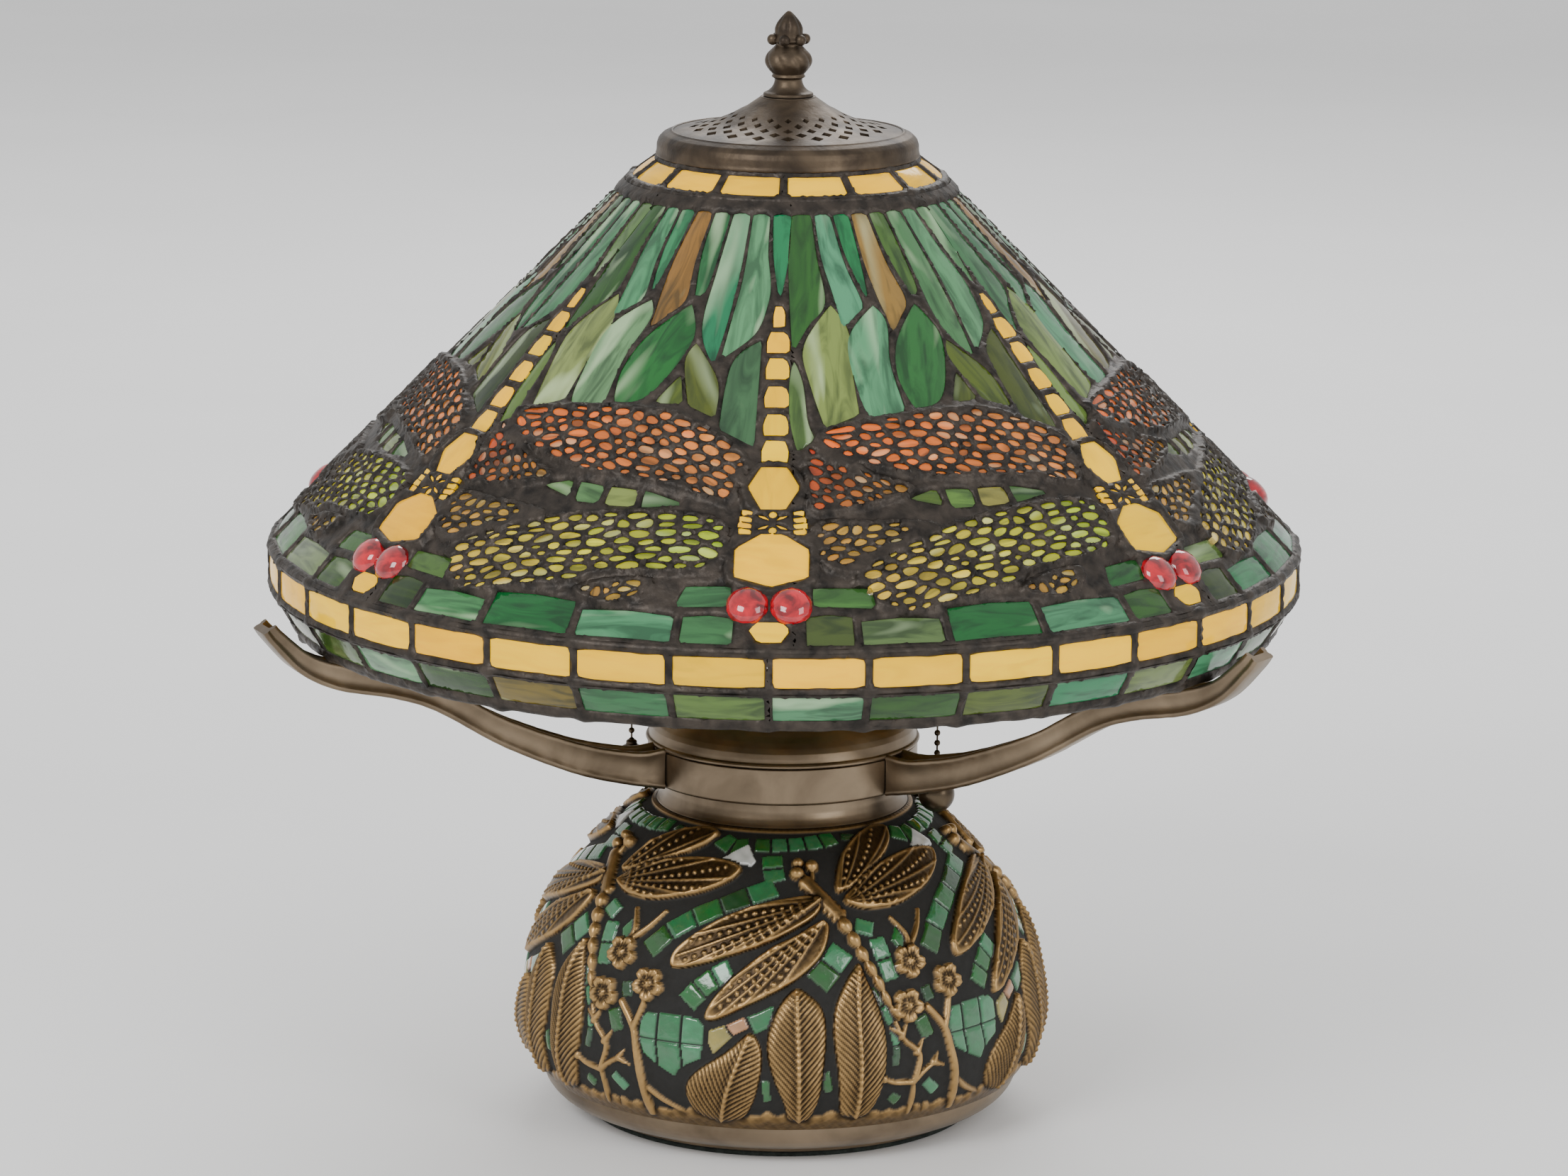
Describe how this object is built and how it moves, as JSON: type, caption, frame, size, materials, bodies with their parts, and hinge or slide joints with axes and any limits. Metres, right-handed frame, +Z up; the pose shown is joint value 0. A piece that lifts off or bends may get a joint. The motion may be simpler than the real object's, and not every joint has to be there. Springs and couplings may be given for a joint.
{
  "type": "stained glass table lamp",
  "caption": "Table lamp with a conical leaded art-glass shade of dragonflies over leaves, carried on curved arms above a mosaic bowl base, with pull chains and a finial.",
  "frame": {"origin": "centre of the felt underside, on the lamp's axis, at table level", "axes": "+Z up along the lamp's axis; -Y is the front, where one dragonfly faces the viewer; +X is the viewer's right"},
  "size_m": [0.4064, 0.4241, 0.441],
  "materials": {
    "felt": "dark felt",
    "antique_bronze": "satin antique bronze patina",
    "bowl_mosaic": "cast relief with green glass tiles set in dark grout",
    "plate_steel": "zinc plated sheet",
    "bushing_rubber": "matt black",
    "fitting_steel": "zinc plated",
    "screw_steel": "zinc plated",
    "fitting_brass": "plain brass",
    "socket_brass": "spun brass",
    "insulator": "dark phenolic",
    "contact_brass": "bright brass",
    "bulb_cap_metal": "bright",
    "bulb_glass": "frosted",
    "pull_bronze": "dark bronze",
    "amber_glass": "opalescent art glass",
    "field_glass": "streaky opalescent art glass",
    "skirt_glass": "streaky opalescent art glass",
    "dark_lead": "dark patinated solder",
    "dragonfly_lead": "dark filigree with amber and green cells",
    "dark_bronze": "dark bronze patina"
  },
  "bodies": {
    "base": {"felt_pad": "felt", "foot_ring": "antique_bronze", "neck_collar": "antique_bronze", "arm_ring": "antique_bronze", "ring_dome": "antique_bronze", "arm_left": "antique_bronze", "arm_right": "antique_bronze", "arm_back": "antique_bronze", "mosaic_bowl": "bowl_mosaic", "base_plate": "plate_steel", "cord_bushing": "bushing_rubber", "lamp_pipe": "fitting_steel", "base_washer": "fitting_steel", "base_nut": "fitting_steel", "riser_rod": "fitting_steel", "arm_screw_left": "screw_steel", "arm_screw_right": "screw_steel", "arm_screw_back": "screw_steel", "dome_washer": "fitting_brass", "dome_nut": "fitting_brass", "cluster_hub": "fitting_brass", "riser_nut": "fitting_brass", "socket_cap_left": "socket_brass", "socket_shell_left": "socket_brass", "chain_guide_left": "socket_brass", "socket_insulator_left": "insulator", "screw_shell_left": "contact_brass", "socket_cap_right": "socket_brass", "socket_shell_right": "socket_brass", "chain_guide_right": "socket_brass", "socket_insulator_right": "insulator", "screw_shell_right": "contact_brass"},
    "shade": {"cap_ring_glass": "amber_glass", "cone_glass": "field_glass", "border_glass": "amber_glass", "skirt_glass": "skirt_glass", "upper_came": "dark_lead", "border_came": "dark_lead", "skirt_came": "dark_lead", "rim_wire": "dark_lead", "dragonfly_0": "dragonfly_lead", "dragonfly_1": "dragonfly_lead", "dragonfly_2": "dragonfly_lead", "dragonfly_3": "dragonfly_lead", "dragonfly_4": "dragonfly_lead", "dragonfly_5": "dragonfly_lead", "dragonfly_6": "dragonfly_lead", "vented_cap": "dark_bronze"},
    "finial": {"finial": "dark_bronze"},
    "bulb_left": {"bulb_base_left": "bulb_cap_metal", "bulb_glass_left": "bulb_glass"},
    "pull_left": {"pull_chain_left": "pull_bronze", "pull_ball_left": "pull_bronze"},
    "rotor_left": {"switch_rotor_left": "contact_brass"},
    "bulb_right": {"bulb_base_right": "bulb_cap_metal", "bulb_glass_right": "bulb_glass"},
    "pull_right": {"pull_chain_right": "pull_bronze", "pull_ball_right": "pull_bronze"},
    "rotor_right": {"switch_rotor_right": "contact_brass"}
  },
  "joints": [
    {"name": "shade_lift", "type": "slide", "parent": "base", "child": "shade", "axis": [0, 0, 1], "range_m": [0, 0.23]},
    {"name": "finial_turn", "type": "hinge", "parent": "shade", "child": "finial", "pos_m": [0, 0, 0.42], "axis": [0, 0, 1], "continuous": true},
    {"name": "bulb_turn_left", "type": "hinge", "parent": "base", "child": "bulb_left", "pos_m": [-0.11126, 0.04495, 0.226], "axis": [-0.9272, 0.3746, 0], "continuous": true},
    {"name": "chain_pull_left", "type": "slide", "parent": "base", "child": "pull_left", "axis": [0, 0, -1], "range_m": [0, 0.008], "stiffness_N_per_m": 150, "springref_m": -0.004},
    {"name": "switch_turn_left", "type": "hinge", "parent": "base", "child": "rotor_left", "pos_m": [-0.05475, 0.02212, 0.226], "axis": [-0.3746, -0.9272, 0], "range_deg": [0, 75]},
    {"name": "bulb_turn_right", "type": "hinge", "parent": "base", "child": "bulb_right", "pos_m": [0.11126, -0.04495, 0.226], "axis": [0.9272, -0.3746, 0], "continuous": true},
    {"name": "chain_pull_right", "type": "slide", "parent": "base", "child": "pull_right", "axis": [0, 0, -1], "range_m": [0, 0.008], "stiffness_N_per_m": 150, "springref_m": -0.004},
    {"name": "switch_turn_right", "type": "hinge", "parent": "base", "child": "rotor_right", "pos_m": [0.05475, -0.02212, 0.226], "axis": [0.3746, 0.9272, 0], "range_deg": [0, 75]}
  ],
  "couplings": [
    {"joint": "switch_turn_left", "follows": "chain_pull_left", "rad_per_m": 163.62},
    {"joint": "switch_turn_right", "follows": "chain_pull_right", "rad_per_m": 163.62}
  ]
}
